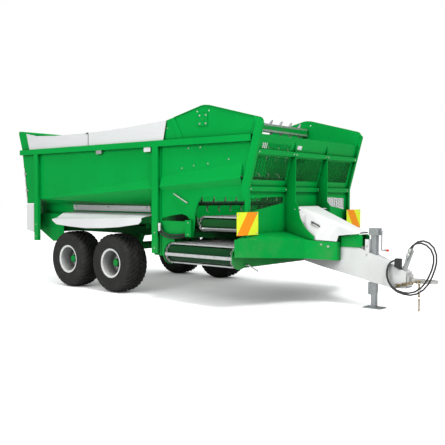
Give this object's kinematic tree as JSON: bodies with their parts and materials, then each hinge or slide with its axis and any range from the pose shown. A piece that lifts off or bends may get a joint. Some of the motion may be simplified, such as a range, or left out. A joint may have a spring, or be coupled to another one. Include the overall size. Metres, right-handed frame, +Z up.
{
  "type": "silage feeder wagon",
  "caption": "Tandem-axle farm trailer with a high load box, shredding beaters, side-discharge slat conveyors and a leaning front wall.",
  "frame": {"origin": "on the ground below the middle of the whole wagon's box", "axes": "+X forward to the towing ring, +Y to the wagon's left, +Z up"},
  "size_m": [6.992, 3.06, 2.6322],
  "materials": {
    "green_paint": "gloss",
    "green_mesh": "gloss",
    "white_paint": "gloss",
    "white_board": "satin",
    "zinc_steel": "satin",
    "galvanised": "matte",
    "worn_steel": "satin",
    "tyre_rubber": "matte",
    "white_rim": "gloss",
    "hazard_yellow": "gloss",
    "black_plastic": "satin",
    "hose_rubber": "satin",
    "yellow_zinc": "satin"
  },
  "bodies": {
    "root": {"chassis": "green_paint", "axle_set": "green_paint", "drawbar": "white_paint", "tow_eye": "zinc_steel", "jack_tube": "galvanised", "jack_crank": "galvanised", "load_floor": "green_paint", "floor_slats": "worn_steel", "wall_right": "green_paint", "wall_left": "green_paint", "outlet_right": "green_paint", "outlet_left": "green_paint", "posts_right": "green_paint", "posts_left": "green_paint", "rail_right": "green_paint", "rail_left": "green_paint", "boards_right": "white_board", "boards_left": "white_board", "gable_right": "green_paint", "gable_left": "green_paint", "front_wall": "green_paint", "front_grilles": "green_mesh", "beater_plates": "green_paint", "cross_conveyor": "green_paint", "cross_chain": "worn_steel", "side_conveyor": "green_paint", "side_chain": "worn_steel", "front_skirt": "green_paint", "hazard_panels": "hazard_yellow", "drawbar_housing": "green_paint", "guard_right": "white_paint", "guard_left": "white_paint", "light_board": "white_paint", "gate_latches": "zinc_steel", "side_fittings": "zinc_steel", "side_hoses": "hose_rubber", "front_hose_a": "hose_rubber", "front_hose_b": "hose_rubber", "hose_couplings": "zinc_steel", "safety_chain": "yellow_zinc"},
    "wheel_rf": {"tyre_rf": "tyre_rubber", "rim_rf": "white_rim"},
    "wheel_rr": {"tyre_rr": "tyre_rubber", "rim_rr": "white_rim"},
    "wheel_lf": {"tyre_lf": "tyre_rubber", "rim_lf": "white_rim"},
    "wheel_lr": {"tyre_lr": "tyre_rubber", "rim_lr": "white_rim"},
    "beater_1": {"beater_low": "worn_steel"},
    "beater_2": {"beater_mid": "worn_steel"},
    "beater_3": {"beater_high": "worn_steel"},
    "beater_4": {"beater_top": "worn_steel"},
    "gate": {"tailgate": "green_paint"},
    "hood_lid": {"hood": "white_paint", "hood_handle": "black_plastic"},
    "jack_foot": {"jack_leg": "galvanised"}
  },
  "joints": [
    {"name": "wheel_rf_spin", "type": "hinge", "parent": "root", "child": "wheel_rf", "pos_m": [-0.924, -1.185, 0.437], "axis": [0, 1, 0], "continuous": true},
    {"name": "wheel_rr_spin", "type": "hinge", "parent": "root", "child": "wheel_rr", "pos_m": [-1.944, -1.185, 0.437], "axis": [0, 1, 0], "continuous": true},
    {"name": "wheel_lf_spin", "type": "hinge", "parent": "root", "child": "wheel_lf", "pos_m": [-0.924, 1.185, 0.437], "axis": [0, 1, 0], "continuous": true},
    {"name": "wheel_lr_spin", "type": "hinge", "parent": "root", "child": "wheel_lr", "pos_m": [-1.944, 1.185, 0.437], "axis": [0, 1, 0], "continuous": true},
    {"name": "beater_1_spin", "type": "hinge", "parent": "root", "child": "beater_1", "pos_m": [0.556, 0, 1.331], "axis": [0, 1, 0], "continuous": true},
    {"name": "beater_2_spin", "type": "hinge", "parent": "root", "child": "beater_2", "pos_m": [0.63, 0, 1.701], "axis": [0, 1, 0], "continuous": true},
    {"name": "beater_3_spin", "type": "hinge", "parent": "root", "child": "beater_3", "pos_m": [0.705, 0, 2.072], "axis": [0, 1, 0], "continuous": true},
    {"name": "beater_4_spin", "type": "hinge", "parent": "root", "child": "beater_4", "pos_m": [0.779, 0, 2.442], "axis": [0, 1, 0], "continuous": true},
    {"name": "gate_swing", "type": "hinge", "parent": "root", "child": "gate", "pos_m": [-3.45, 0, 2.5], "axis": [0, 1, 0], "range_deg": [0, 75]},
    {"name": "hood_lift", "type": "hinge", "parent": "root", "child": "hood_lid", "pos_m": [1.689, 0, 1.262], "axis": [0, -1, 0], "range_deg": [0, 60]},
    {"name": "jack_slide", "type": "slide", "parent": "root", "child": "jack_foot", "axis": [0, 0, 1], "range_m": [-0.2, 0.15]}
  ]
}
